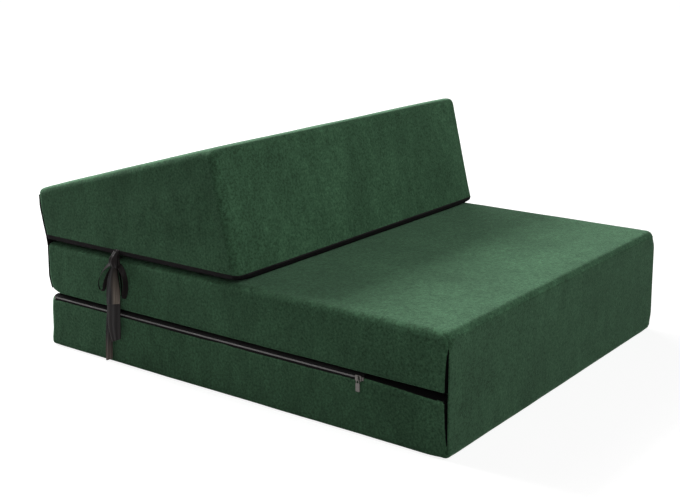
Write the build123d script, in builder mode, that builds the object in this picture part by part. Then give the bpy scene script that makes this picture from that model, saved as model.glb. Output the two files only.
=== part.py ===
from build123d import *
import os
from math import cos, radians, sin, tan

# Folding mattress, folded into a low seat: two stacked foam slabs joined by a fabric panel over
# their fronts, and a foam wedge on top, joined to the seat slab by a dark panel over their backs.
# X runs across the width, -Y is the front, Z is up. The origin is on the floor, at the centre of
# the slabs. Millimetres and degrees.

# Foam slabs and wedge
width = 690.0
slab_length = 798.0
base_height = 91.0
seat_height = 90.6
slab_gap = 0.8
wedge_length = 431.5
wedge_front_height = 200.7
wedge_back_height = 86.7
wedge_lean = 13.5
wedge_gap = 0.4

# Softness of the padded forms
crown = 2.0
base_crown = 1.0
pull_in = 1.5
front_corner_radius = 5.0
base_back_corner_radius = 12.5
seat_back_corner_radius = 8.0
top_edge_radius = 11.0
groove_edge_radius = 4.5
foot_edge_radius = 7.0
inner_edge_radius = 3.0
wedge_top_radius = 10.0
wedge_bottom_radius = 10.0
wedge_side_radius = 6.0

# Covers, linings and panels
cover_thickness = 2.0
foam_clearance = 0.3
front_panel_thickness = 3.0
front_panel_margin = 16.0
front_panel_slit = 2.0
back_panel_thickness = 1.5
back_panel_bottom_margin = 8.0
wedge_panel_bottom_margin = 1.5
wedge_panel_top_margin = 10.0
panel_clearance = 0.3
lining_border = 11.0
lining_seam_clearance = 0.1

# Zip in the near top edge of the lower slab
zip_below_top = 6.0
zip_front_margin = 148.5
zip_back_margin = 16.0
zip_row_height = 2.0
zip_row_gap = 0.8
zip_chain_thickness = 2.2
zip_chain_inset = 1.3
zip_tape_thickness = 0.4
zip_lower_tape_height = 13.0
zip_upper_tape_width = 10.0
zip_stop_length = 2.5
zip_stop_proud = 0.2
zip_edge_clearance = 0.4
zip_foam_clearance = 0.6

# Slider and pull
slider_length = 11.0
slider_height = 8.6
slider_back_height = 4.4
slider_plate = 1.0
slider_corner_radius = 2.0
slider_clearance = 0.3
slider_web_thickness = 0.5
slider_web_length = 4.0
bridge_width = 2.4
bridge_height = 6.4
bridge_foot_height = 0.9
bridge_slot = 1.7
bridge_strap = 0.9
pull_pin_diameter = 1.2
pull_pin_drop = 1.4
pull_arm_width = 1.2
pull_arm_length = 6.0
pull_side_clearance = 0.4
pull_width = 7.0
pull_length = 12.5
pull_thickness = 1.1
pull_corner_radius = 1.2

# Satin ties, one bow on each side of the seat
tie_y = 226.0
tie_width = 36.0
tie_thickness = 0.6
tie_clearance = 0.3
knot_width = 14.0
knot_height = 24.0
knot_depth = 12.0
knot_radius = 3.5
knot_stand_off = 2.3
knot_rise = 8.0
lead_width = 12.0
lead_length = 11.0
loop_depth = 6.0
loop_neck = 4.0
back_loop_reach = 36.0
back_loop_drop = 46.0
back_loop_radius = 6.5
front_loop_reach = 30.0
front_loop_drop = 50.0
front_loop_radius = 6.0
tail_bow = 1.4
tail_stand_off = 5.2
tail_floor_clearance = 1.2
long_tail_shift = 23.0
long_tail_slant = 7.0
middle_tail_drop = 134.0
middle_tail_shift = 5.0
middle_tail_slant = 16.0
short_tail_drop = 64.0
short_tail_shift = 2.0
short_tail_slant = 9.0

# Each row of a tail is its drop, its width, its sideways shift and its bow, as shares of the
# tail's own drop, the ribbon's width, the tail's shift and the bow.
long_tail_shares = ((0, 0.3, 0, 1), (0.3, 0.5, 0.3, 1), (0.65, 0.5, 0.8, 0.6), (1, 0.46, 1, 0.4))
middle_tail_shares = ((0, 0.32, 0, 1), (0.25, 0.8, 0.5, 1), (0.6, 1, 0.9, 0.5), (1, 1, 1, 0.7))
short_tail_shares = ((0, 0.34, 0, 1), (0.35, 0.66, 0.2, 1), (0.7, 0.86, 0.7, 0.8), (1, 1, 1, 0.5))

overrun = 5.0

# Places worked out from the sizes above
half_width = width / 2
front_y = -slab_length / 2
back_y = slab_length / 2
seat_bottom = base_height + slab_gap
seat_top = seat_bottom + seat_height
wedge_bottom = seat_top + wedge_gap
fold_z = base_height + slab_gap / 2
recess_depth = front_panel_thickness + panel_clearance
lining_top = wedge_bottom + lining_border
foam_inset = cover_thickness + foam_clearance

zip_z = base_height - zip_below_top
zip_row_offset = (zip_row_gap + zip_row_height) / 2
zip_y = front_y + zip_front_margin
zip_back = back_y - zip_back_margin
zip_front = zip_y - slider_length / 2 - slider_clearance
tape_front = zip_front - zip_stop_length
tape_back = zip_back + zip_stop_length
chain_outer_x = -half_width + zip_chain_inset
chain_inner_x = chain_outer_x + zip_chain_thickness
chain_middle_x = (chain_outer_x + chain_inner_x) / 2
row_top = zip_z + zip_row_gap / 2 + zip_row_height
row_bottom = zip_z - zip_row_gap / 2 - zip_row_height
zip_edge_z = zip_z - slider_height / 2 - zip_edge_clearance
back_plate_x = chain_inner_x + slider_clearance
zip_edge_x = back_plate_x + slider_plate - zip_edge_clearance
front_plate_x = chain_outer_x - slider_clearance
bridge_x = front_plate_x - slider_plate
pull_x = bridge_x - bridge_slot / 2
pull_z = zip_z - pull_pin_drop

knot_top = wedge_bottom + knot_rise
knot_bottom = knot_top - knot_height
knot_face_x = -half_width - knot_stand_off
tails_top = knot_bottom - tie_clearance
tail_layer = tie_thickness + tail_bow + tie_clearance
long_tail_depth = tail_stand_off
middle_tail_depth = long_tail_depth + tail_layer
short_tail_depth = middle_tail_depth + tail_layer
loop_x = -half_width - short_tail_depth - tail_layer


def soft_slab(
    bottom, top, inset, set_back, rise, top_radius, bottom_radius, back_radius, near_pull, back_pull
):
    """A padded block with a crowned top, rounded edges and sides that pull in between its corners."""
    side = half_width - inset
    front = front_y + inset + set_back
    back = back_y - inset
    low, high = bottom + inset, top - inset
    front_radius = max(front_corner_radius - inset, inner_edge_radius)
    with BuildPart() as block:
        with BuildSketch(Plane.XY.offset(low)) as plan:
            with BuildLine():
                Line((-side, front), (side, front))
                ThreePointArc((side, front), (side - pull_in, 0), (side, back))
                if back_pull:
                    ThreePointArc((side, back), (0, back - back_pull), (-side, back))
                else:
                    Line((side, back), (-side, back))
                if near_pull:
                    ThreePointArc((-side, back), (-side + near_pull, 0), (-side, front))
                else:
                    Line((-side, back), (-side, front))
            make_face()
            fillet(plan.vertices().filter_by(lambda corner: corner.Y < 0), front_radius)
            back_corners = plan.vertices().filter_by(lambda corner: corner.Y > back - foam_clearance)
            fillet(back_corners, back_radius - inset)
        extrude(amount=high - low)
        with BuildSketch(Plane.XZ.offset(-back_y - overrun)):
            with BuildLine():
                Polyline((-side, high - rise), (-side, low), (side, low), (side, high - rise))
                ThreePointArc((side, high - rise), (0, high), (-side, high - rise))
            make_face()
        extrude(amount=slab_length + 2 * overrun, mode=Mode.INTERSECT)
        fillet(block.faces().sort_by(Axis.Z)[-1].edges(), max(top_radius - inset, inner_edge_radius))
        fillet(block.faces().sort_by(Axis.Z)[0].edges(), max(bottom_radius - inset, inner_edge_radius))
    return block.part


def wedge_block(inset):
    """The headrest: a leaning four-sided profile with a crowned slope and pulled-in front and sides."""
    lean = tan(radians(wedge_lean))
    start = back_y - wedge_length
    front_top = (start + wedge_front_height * lean, wedge_bottom + wedge_front_height)
    back_top = (back_y + wedge_back_height * lean, wedge_bottom + wedge_back_height)
    slope_middle = ((front_top[0] + back_top[0]) / 2, (front_top[1] + back_top[1]) / 2 + crown)
    front_middle = ((start + front_top[0]) / 2 + pull_in, (wedge_bottom + front_top[1]) / 2)
    side = half_width - inset
    low_y, high_y = start - overrun, back_top[0] + overrun
    with BuildPart() as block:
        with BuildSketch(Plane.YZ.offset(-side)) as profile:
            with BuildLine():
                Line((start, wedge_bottom), (back_y, wedge_bottom))
                Line((back_y, wedge_bottom), back_top)
                ThreePointArc(back_top, slope_middle, front_top)
                ThreePointArc(front_top, front_middle, (start, wedge_bottom))
            make_face()
            if inset:
                offset(amount=-inset, kind=Kind.INTERSECTION)
            fillet(profile.vertices().sort_by(Axis.Y)[:2], wedge_bottom_radius - inset)
            fillet(profile.vertices().sort_by(Axis.Y)[-2:], wedge_top_radius - inset)
        extrude(amount=2 * side)
        with BuildSketch(Plane.XY.offset(wedge_bottom - overrun)):
            with BuildLine():
                Line((-side, low_y), (side, low_y))
                ThreePointArc((side, low_y), (side - pull_in, (low_y + high_y) / 2), (side, high_y))
                Line((side, high_y), (-side, high_y))
                ThreePointArc((-side, high_y), (-side + pull_in, (low_y + high_y) / 2), (-side, low_y))
            make_face()
        extrude(amount=wedge_front_height + 2 * overrun, mode=Mode.INTERSECT)
        ends = block.faces().sort_by(Axis.X)
        fillet(ends[0].edges() + ends[-1].edges(), wedge_side_radius - inset)
    return block.part


def block_between(low, high):
    """A plain block between two corners."""
    with BuildPart() as block:
        with BuildSketch(Plane.XY.offset(low[2])):
            with Locations(((low[0] + high[0]) / 2, (low[1] + high[1]) / 2)):
                Rectangle(high[0] - low[0], high[1] - low[1])
        extrude(amount=high[2] - low[2])
    return block.part


def save(part, label):
    part.label = label
    export_step(part, f"parts/{label}.step")


os.makedirs("parts", exist_ok=True)

# Lower slab: outer form, its hollow and its foam
base_shape = soft_slab(
    0, base_height, 0, 0, base_crown, groove_edge_radius, foot_edge_radius, base_back_corner_radius, 0, pull_in
)
base_hollow = soft_slab(
    0, base_height, cover_thickness, recess_depth, base_crown, groove_edge_radius, foot_edge_radius,
    base_back_corner_radius, 0, pull_in
)
base_core = soft_slab(
    0, base_height, foam_inset, recess_depth, base_crown, groove_edge_radius, foot_edge_radius,
    base_back_corner_radius, 0, pull_in
)
base_recess = block_between(
    (-half_width - overrun, front_y - overrun, front_panel_margin),
    (half_width + overrun, front_y + recess_depth, base_height + overrun),
)
base_slits = [
    block_between(
        (x - front_panel_slit, front_y, front_panel_margin),
        (x + front_panel_slit, front_y + recess_depth + front_panel_slit, base_height + overrun),
    )
    for x in (-half_width, half_width)
]
zip_edge = block_between(
    (-half_width - overrun, tape_front - zip_edge_clearance, zip_edge_z),
    (zip_edge_x, tape_back + zip_edge_clearance, base_height + overrun),
)

with BuildPart() as base_cover:
    add(base_shape)
    add([base_recess, base_slits[0], base_slits[1], base_hollow, zip_edge], mode=Mode.SUBTRACT)
save(base_cover.part, "base_cover")

lower_tape_bottom = row_bottom - zip_lower_tape_height
upper_tape_x = chain_outer_x + zip_upper_tape_width
foam_side_cut = block_between(
    (-half_width, tape_front - zip_foam_clearance, lower_tape_bottom - zip_foam_clearance),
    (back_plate_x + slider_plate + slider_clearance, tape_back + zip_foam_clearance, base_height),
)
foam_top_cut = block_between(
    (-half_width, tape_front - zip_foam_clearance, row_top - zip_foam_clearance),
    (upper_tape_x + zip_foam_clearance, tape_back + zip_foam_clearance, base_height),
)

with BuildPart() as base_foam:
    add(base_core)
    add([foam_side_cut, foam_top_cut], mode=Mode.SUBTRACT)
save(base_foam.part, "base_foam")

# Zip: two tapes, two rows of teeth closed over each other, and a stop at each end
with BuildPart() as zip_lower_tape:
    with BuildSketch(Plane.XZ.offset(-tape_back)):
        with Locations((chain_middle_x, (row_bottom + lower_tape_bottom) / 2)):
            Rectangle(zip_tape_thickness, zip_lower_tape_height)
    extrude(amount=tape_back - tape_front)
save(zip_lower_tape.part, "zip_lower_tape")

with BuildPart() as zip_upper_tape:
    with BuildSketch(Plane.XZ.offset(-tape_back)):
        with Locations(((chain_outer_x + upper_tape_x) / 2, row_top + zip_tape_thickness / 2)):
            Rectangle(zip_upper_tape_width, zip_tape_thickness)
    extrude(amount=tape_back - tape_front)
save(zip_upper_tape.part, "zip_upper_tape")

for label, row_z in (
    ("zip_lower_teeth", zip_z - zip_row_offset), ("zip_upper_teeth", zip_z + zip_row_offset)
):
    with BuildPart() as zip_teeth:
        with BuildSketch(Plane.XZ.offset(-zip_back)):
            with Locations((chain_middle_x, row_z)):
                Rectangle(zip_chain_thickness, zip_row_height)
        extrude(amount=zip_back - zip_front)
    save(zip_teeth.part, label)

for label, stop_back in (("zip_front_stop", zip_front), ("zip_back_stop", tape_back)):
    with BuildPart() as zip_stop:
        with BuildSketch(Plane.XZ.offset(-stop_back)):
            with Locations((chain_middle_x, zip_z)):
                Rectangle(zip_chain_thickness + 2 * zip_stop_proud, row_top - row_bottom)
        extrude(amount=zip_stop_length)
    save(zip_stop.part, label)

# Slider: a plate on each side of the teeth, a web between the rows and a bridge for the pull
with BuildPart() as zip_slider:
    with BuildSketch(Plane.YZ.offset(bridge_x)):
        with Locations((zip_y, zip_z)):
            RectangleRounded(slider_length, slider_height, slider_corner_radius)
    extrude(amount=slider_plate)
    with BuildSketch(Plane.YZ.offset(back_plate_x)):
        with Locations((zip_y, zip_z)):
            RectangleRounded(slider_length, slider_back_height, slider_corner_radius)
    extrude(amount=slider_plate)
    with BuildSketch(Plane.YZ.offset(front_plate_x)):
        with Locations((zip_y, zip_z)):
            Rectangle(slider_web_length, slider_web_thickness)
    extrude(amount=back_plate_x - front_plate_x)
    with BuildSketch(Plane.XZ.offset(-zip_y - bridge_width / 2)):
        with Locations((bridge_x - bridge_slot - bridge_strap / 2, zip_z)):
            Rectangle(bridge_strap, bridge_height)
        foot_z = (bridge_height - bridge_foot_height) / 2
        foot_x = bridge_x - bridge_slot / 2
        with Locations((foot_x, zip_z - foot_z), (foot_x, zip_z + foot_z)):
            Rectangle(bridge_slot, bridge_foot_height)
    extrude(amount=bridge_width)
save(zip_slider.part, "zip_slider")

# Pull: a tab with two arms and a pin that turns under the bridge
pull_window = bridge_width + 2 * pull_side_clearance
pin_radius = pull_pin_diameter / 2
with BuildPart() as zip_pull:
    with BuildSketch(Plane.YZ.offset(pull_x - pull_thickness / 2)):
        with Locations((zip_y, pull_z - (pull_arm_length - pin_radius) / 2)):
            Rectangle(pull_window + 2 * pull_arm_width, pull_arm_length + pin_radius)
            Rectangle(pull_window, pull_arm_length + pin_radius, mode=Mode.SUBTRACT)
        with Locations((zip_y, pull_z - pull_arm_length - pull_length / 2 + pin_radius)):
            RectangleRounded(pull_width, pull_length, pull_corner_radius)
    extrude(amount=pull_thickness)
    with BuildSketch(Plane.XZ.offset(-zip_y - pull_window / 2)):
        with Locations((pull_x, pull_z)):
            Circle(pin_radius)
    extrude(amount=pull_window)
save(zip_pull.part, "zip_pull")

# Seat slab
seat_shape = soft_slab(
    seat_bottom, seat_top, 0, 0, crown, top_edge_radius, groove_edge_radius,
    seat_back_corner_radius, pull_in, 0
)
seat_hollow = soft_slab(
    seat_bottom, seat_top, cover_thickness, recess_depth, crown, top_edge_radius, groove_edge_radius,
    seat_back_corner_radius, pull_in, 0
)
seat_core = soft_slab(
    seat_bottom, seat_top, foam_inset, recess_depth, crown, top_edge_radius, groove_edge_radius,
    seat_back_corner_radius, pull_in, 0
)
seat_recess_top = seat_top - front_panel_margin
seat_recess = block_between(
    (-half_width - overrun, front_y - overrun, seat_bottom - overrun),
    (half_width + overrun, front_y + recess_depth, seat_recess_top),
)
seat_slits = [
    block_between(
        (x - front_panel_slit, front_y, seat_bottom - overrun),
        (x + front_panel_slit, front_y + recess_depth + front_panel_slit, seat_recess_top),
    )
    for x in (-half_width, half_width)
]

with BuildPart() as seat_cover:
    add(seat_shape)
    add([seat_recess, seat_slits[0], seat_slits[1], seat_hollow], mode=Mode.SUBTRACT)
save(seat_cover.part, "seat_cover")

with BuildPart() as seat_foam:
    add(seat_core)
save(seat_foam.part, "seat_foam")

# Front panel: one strip over both fronts, in two halves that meet at the fold line
for label, low, high in (
    ("front_panel_lower", front_panel_margin + panel_clearance, fold_z - panel_clearance / 2),
    ("front_panel_upper", fold_z + panel_clearance / 2, seat_recess_top - panel_clearance),
):
    with BuildPart() as front_panel:
        with BuildSketch(Plane.XY.offset(low)):
            with Locations((0, front_y + front_panel_thickness / 2)):
                Rectangle(width, front_panel_thickness)
        extrude(amount=high - low)
    save(front_panel.part, label)

# Back panel: a dark strip over the backs of the seat and the wedge
with BuildPart() as seat_back_panel:
    with BuildSketch(Plane.XY.offset(seat_bottom + back_panel_bottom_margin)):
        with Locations((0, back_y + panel_clearance + back_panel_thickness / 2)):
            Rectangle(width, back_panel_thickness)
    extrude(amount=seat_top - seat_bottom - back_panel_bottom_margin)
save(seat_back_panel.part, "seat_back_panel")

wedge_back_length = wedge_back_height / cos(radians(wedge_lean))
lean_plane = Plane(
    origin=(-half_width, back_y, wedge_bottom),
    x_dir=(0, sin(radians(wedge_lean)), cos(radians(wedge_lean))),
    z_dir=(1, 0, 0),
)
with BuildPart() as wedge_back_panel:
    panel_length = wedge_back_length - wedge_panel_bottom_margin - wedge_panel_top_margin
    with BuildSketch(lean_plane):
        with Locations(
            (
                wedge_panel_bottom_margin + panel_length / 2,
                -panel_clearance - back_panel_thickness / 2,
            )
        ):
            Rectangle(panel_length, back_panel_thickness)
    extrude(amount=width)
save(wedge_back_panel.part, "wedge_back_panel")

# Wedge: green cover above a dark lining tray, and its foam
wedge_shape = wedge_block(0)
wedge_hollow = wedge_block(cover_thickness)
wedge_core = wedge_block(foam_inset)
wedge_reach = width + wedge_length
below_seam = block_between(
    (-wedge_reach, -wedge_reach, 0), (wedge_reach, wedge_reach, lining_top + lining_seam_clearance)
)
above_seam = block_between(
    (-wedge_reach, -wedge_reach, lining_top), (wedge_reach, wedge_reach, lining_top + wedge_reach)
)

with BuildPart() as wedge_cover:
    add(wedge_shape)
    add([wedge_hollow, below_seam], mode=Mode.SUBTRACT)
save(wedge_cover.part, "wedge_cover")

with BuildPart() as wedge_lining:
    add(wedge_shape)
    add([wedge_hollow, above_seam], mode=Mode.SUBTRACT)
save(wedge_lining.part, "wedge_lining")

with BuildPart() as wedge_foam:
    add(wedge_core)
save(wedge_foam.part, "wedge_foam")


def tail(depth, drop, shift, slant, shares):
    """A ribbon tail that hangs from the knot, gathered at its top and slanted at its cut end."""
    with BuildPart() as ribbon:
        for drop_share, width_share, shift_share, bow_share in shares:
            half = tie_width * width_share / 2
            middle = tie_y + shift * shift_share
            inner = -half_width - depth
            outer = inner - tie_thickness
            bow = tail_bow * bow_share
            with BuildSketch(Plane.XY.offset(tails_top - drop * drop_share)):
                with BuildLine():
                    ThreePointArc((inner, middle - half), (inner - bow, middle), (inner, middle + half))
                    Line((inner, middle + half), (outer, middle + half))
                    ThreePointArc((outer, middle + half), (outer - bow, middle), (outer, middle - half))
                    Line((outer, middle - half), (inner, middle - half))
                make_face()
        loft()
        cut_half = tie_width * shares[-1][1] / 2
        cut_middle = tie_y + shift
        cut_plane = Plane(
            origin=(-half_width, cut_middle + cut_half, tails_top - drop),
            x_dir=(1, 0, 0),
            z_dir=(0, slant, 2 * cut_half),
        )
        split(bisect_by=cut_plane, keep=Keep.TOP)
    return ribbon.part


def loop(reach, drop, radius, way):
    """A ribbon loop that hangs from the knot as a narrow drop, open from side to side."""
    with BuildPart() as ribbon:
        with BuildSketch(Plane.YZ.offset(loop_x - loop_depth)) as outline:
            for wall in (0, tie_thickness):
                ring = radius - wall
                middle = (tie_y + way * (reach - radius), tails_top - drop + radius)
                neck = (tie_y + way * (knot_width - loop_neck) / 2, tails_top - wall * drop / radius)
                with BuildLine(mode=Mode.PRIVATE) as edge:
                    outer = Line(neck, (middle[0] + way * ring, middle[1]))
                    Line(neck, (middle[0] - way * ring, middle[1]))
                    ThreePointArc(
                        outer @ 1, (middle[0], middle[1] - ring), (middle[0] - way * ring, middle[1])
                    )
                make_face(edge.edges(), mode=Mode.SUBTRACT if wall else Mode.ADD)
        extrude(amount=loop_depth)
    return ribbon.part


# Ties: a bow on each side, knotted over the gap between the seat and the wedge
with BuildPart() as knot:
    with BuildSketch(Plane.YZ.offset(knot_face_x - knot_depth)):
        with Locations((tie_y, (knot_top + knot_bottom) / 2)):
            RectangleRounded(knot_width, knot_height, knot_radius)
    extrude(amount=knot_depth)
    fillet(knot.faces().sort_by(Axis.X)[0].edges(), knot_radius - tie_thickness)

seat_edge_z = seat_top - crown + tie_clearance
wedge_edge_z = wedge_bottom - tie_clearance - tie_thickness
lead_side = lead_width / 2
seat_lead = block_between(
    (knot_face_x, tie_y - lead_side, seat_edge_z),
    (knot_face_x + lead_length, tie_y + lead_side, seat_edge_z + tie_thickness),
)
wedge_lead = block_between(
    (knot_face_x + tie_clearance, tie_y - lead_side, wedge_edge_z),
    (knot_face_x + lead_length, tie_y + lead_side, wedge_edge_z + tie_thickness),
)
near_ties = {
    "tie_knot": knot.part,
    "tie_seat_lead": seat_lead,
    "tie_wedge_lead": wedge_lead,
    "tie_back_loop": loop(back_loop_reach, back_loop_drop, back_loop_radius, 1),
    "tie_front_loop": loop(front_loop_reach, front_loop_drop, front_loop_radius, -1),
    "tie_short_tail": tail(
        short_tail_depth, short_tail_drop, short_tail_shift, short_tail_slant, short_tail_shares
    ),
    "tie_middle_tail": tail(
        middle_tail_depth, middle_tail_drop, middle_tail_shift, middle_tail_slant, middle_tail_shares
    ),
    "tie_long_tail": tail(
        long_tail_depth, tails_top - tail_floor_clearance, long_tail_shift, long_tail_slant, long_tail_shares
    ),
}
for label, piece in near_ties.items():
    with BuildPart() as near_tie:
        add(piece)
    save(near_tie.part, f"{label}_left")
    with BuildPart() as far_tie:
        add(piece)
        mirror(about=Plane.YZ, mode=Mode.REPLACE)
    save(far_tie.part, f"{label}_right")
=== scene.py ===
import math
import bmesh
import bpy
import numpy as np
from mathutils import Matrix, Vector, noise


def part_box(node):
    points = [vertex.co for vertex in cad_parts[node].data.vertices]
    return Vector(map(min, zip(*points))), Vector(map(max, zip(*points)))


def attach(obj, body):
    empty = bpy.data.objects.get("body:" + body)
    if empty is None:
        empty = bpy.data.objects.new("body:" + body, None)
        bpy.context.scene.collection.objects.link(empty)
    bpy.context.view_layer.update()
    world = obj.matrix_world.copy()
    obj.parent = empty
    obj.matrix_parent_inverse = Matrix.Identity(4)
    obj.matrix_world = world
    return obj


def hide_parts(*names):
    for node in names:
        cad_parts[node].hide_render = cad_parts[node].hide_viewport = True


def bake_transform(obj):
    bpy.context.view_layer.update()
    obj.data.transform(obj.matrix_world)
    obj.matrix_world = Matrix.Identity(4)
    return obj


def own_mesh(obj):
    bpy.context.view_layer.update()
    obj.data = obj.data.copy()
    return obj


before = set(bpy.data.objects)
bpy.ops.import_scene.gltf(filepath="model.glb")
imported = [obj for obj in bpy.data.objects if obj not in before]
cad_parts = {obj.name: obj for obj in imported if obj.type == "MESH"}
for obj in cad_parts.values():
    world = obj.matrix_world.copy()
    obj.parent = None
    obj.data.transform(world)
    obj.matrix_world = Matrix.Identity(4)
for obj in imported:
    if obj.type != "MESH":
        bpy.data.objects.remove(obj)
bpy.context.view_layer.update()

# Sizes and places are in millimetres where nothing else is said, and mm turns them into metres
mm = 0.001

# Places read from the frame
base_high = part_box("base_cover")[1]
seat_low, seat_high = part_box("seat_cover")
wedge_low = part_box("wedge_cover")[0]
lining_low, lining_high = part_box("wedge_lining")
upper_panel_low, upper_panel_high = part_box("front_panel_upper")
lower_teeth_low, lower_teeth_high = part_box("zip_lower_teeth")
upper_teeth_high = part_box("zip_upper_teeth")[1]
knot_low, knot_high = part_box("tie_knot_left")
lead_low, lead_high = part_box("tie_seat_lead_left")

half_width = upper_panel_high.x / mm
front_y = upper_panel_low.y / mm
back_y = seat_high.y / mm
base_top = base_high.z / mm
seat_foot = seat_low.z / mm
seat_top = seat_high.z / mm
wedge_front = wedge_low.y / mm
wedge_foot = lining_low.z / mm
lining_top = lining_high.z / mm
zip_start = lower_teeth_low.y / mm
zip_end = lower_teeth_high.y / mm
teeth_middle = (lower_teeth_low.z + upper_teeth_high.z) / 2 / mm
knot_y = (knot_low.y + knot_high.y) / 2 / mm
seam_z = (lead_low.z + lead_high.z) / 2 / mm


# Meshes

def mesh_object(name, points, faces):
    """A smooth-shaded mesh object from points in millimetres and faces."""
    mesh = bpy.data.meshes.new(name)
    places = np.asarray(points, float) * mm
    mesh.from_pydata([tuple(p) for p in places.tolist()], [], [tuple(map(int, f)) for f in faces])
    mesh.shade_smooth()
    mesh.update()
    piece = bpy.data.objects.new(name, mesh)
    bpy.context.collection.objects.link(piece)
    return piece


def duplicate(piece, name):
    """A copy of a piece with a mesh of its own."""
    other = piece.copy()
    other.data = piece.data.copy()
    other.name = other.data.name = name
    bpy.context.collection.objects.link(other)
    return other


def coordinates(mesh):
    """The vertex places of a mesh as an array, in millimetres."""
    flat = np.empty(len(mesh.vertices) * 3)
    mesh.vertices.foreach_get("co", flat)
    return flat.reshape(-1, 3) / mm


def place(mesh, points):
    """Writes the vertex places of a mesh, given in millimetres."""
    mesh.vertices.foreach_set("co", (np.asarray(points, float) * mm).ravel())
    mesh.update()


def vertex_normals(mesh):
    """The vertex normals of a mesh as an array."""
    flat = np.empty(len(mesh.vertices) * 3)
    mesh.vertices.foreach_get("normal", flat)
    return flat.reshape(-1, 3)


def applied(piece):
    """Applies all the modifiers of a piece."""
    bpy.context.view_layer.update()
    evaluated = piece.evaluated_get(bpy.context.evaluated_depsgraph_get())
    mesh = bpy.data.meshes.new_from_object(evaluated)
    piece.modifiers.clear()
    piece.data = mesh
    mesh.shade_smooth()
    return piece


def subdivided(piece):
    """Applies one level of subdivision, so that later shaping works on the finer mesh."""
    modifier = piece.modifiers.new("smooth", "SUBSURF")
    modifier.levels = modifier.render_levels = 1
    return applied(piece)


# Camera: places in the picture in pixels, angles in degrees, its own place in metres

picture_width = 680
picture_middle = 249.5
optical_height = 160.0
focal_length = 1232.9
camera_yaw = 53.586
camera_pitch = 10.963
camera_place = Vector((-1.67790, -1.20219, 0.71386))
sensor_width = 36.0

camera_data = bpy.data.cameras.new("camera")
camera_data.sensor_width = sensor_width
camera_data.lens = focal_length / picture_width * sensor_width
camera_data.shift_y = (optical_height - picture_middle) / picture_width
camera_data.clip_start, camera_data.clip_end = 0.05, 60
camera = bpy.data.objects.new("camera", camera_data)
camera.location = camera_place
camera.rotation_euler = (math.radians(90 - camera_pitch), 0, math.radians(-camera_yaw))
bpy.context.collection.objects.link(camera)
bpy.context.scene.camera = camera
bpy.context.scene.view_settings.view_transform = "Standard"


# Shader nodes

def add_node(tree, kind, links=(), **values):
    """Adds a node, links (socket, source) pairs into it and sets plain values on its sockets or itself."""
    node = tree.nodes.new(kind)
    for key, value in values.items():
        if key in node.inputs:
            node.inputs[key].default_value = value
        else:
            setattr(node, key, value)
    for socket, source in links:
        tree.links.new(source, node.inputs[socket])
    return node


def node_material(name):
    """A new node material, with its tree and its shader."""
    material = bpy.data.materials.new(name)
    material.use_nodes = True
    tree = material.node_tree
    return material, tree, tree.nodes["Principled BSDF"]


def set_sockets(shader, values):
    """Sets plain values on the sockets of a shader."""
    for socket, value in values.items():
        shader.inputs[socket].default_value = value


def object_place(tree):
    """The place on the object."""
    return add_node(tree, "ShaderNodeTexCoord").outputs["Object"]


def reckoned(tree, operation, first, second):
    """What an operation makes of two values."""
    return add_node(tree, "ShaderNodeMath", [(0, first), (1, second)], operation=operation).outputs[0]


def product(tree, *factors):
    """Multiplies tones together."""
    result = factors[0]
    for factor in factors[1:]:
        result = reckoned(tree, "MULTIPLY", result, factor)
    return result


def noise_at(tree, where, scale, detail, **more):
    """The value of a noise at a place."""
    node = add_node(tree, "ShaderNodeTexNoise", [("Vector", where)], Scale=scale, Detail=detail, **more)
    return node.outputs["Fac"]


def mapped(tree, source, start, end, low=0.0, high=1.0, **more):
    """Maps a value from the range between start and end to the one between low and high."""
    ranges = {"From Min": start, "From Max": end, "To Min": low, "To Max": high}
    return add_node(tree, "ShaderNodeMapRange", [("Value", source)], **ranges, **more).outputs[0]


def toned(tree, source, low, high, spread=0.18):
    """Maps the middle of a noise, as far as its spread, to a tone between two values."""
    return mapped(tree, source, 0.5 - spread, 0.5 + spread, low, high)


def tinted(tree, shader, colour, tone):
    """Gives a shader a base colour whose brightness follows a tone."""
    scaled = add_node(tree, "ShaderNodeVectorMath", [("Scale", tone)], operation="SCALE")
    scaled.inputs[0].default_value = colour
    tree.links.new(scaled.outputs[0], shader.inputs["Base Color"])


def bumped(tree, shader, height, strength, distance):
    """Gives a shader a bump from a height, with its distance in millimetres."""
    bump = add_node(tree, "ShaderNodeBump", [("Height", height)], Strength=strength, Distance=distance * mm)
    tree.links.new(bump.outputs[0], shader.inputs["Normal"])


def seen_plainly(tree):
    """One for rays from the camera and from glossy surfaces, and zero for all others."""
    path = add_node(tree, "ShaderNodeLightPath")
    return reckoned(tree, "MAXIMUM", path.outputs["Is Camera Ray"], path.outputs["Is Glossy Ray"])


# Floor and light

floor_reach = 14000
floor_drop = 0.2
floor_grey = 0.28
glow_start, glow_end = 1.0, 3.2
near_glow = 0.84
world_strength = 0.055
white, black = (1, 1, 1, 1), (0, 0, 0, 1)


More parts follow.
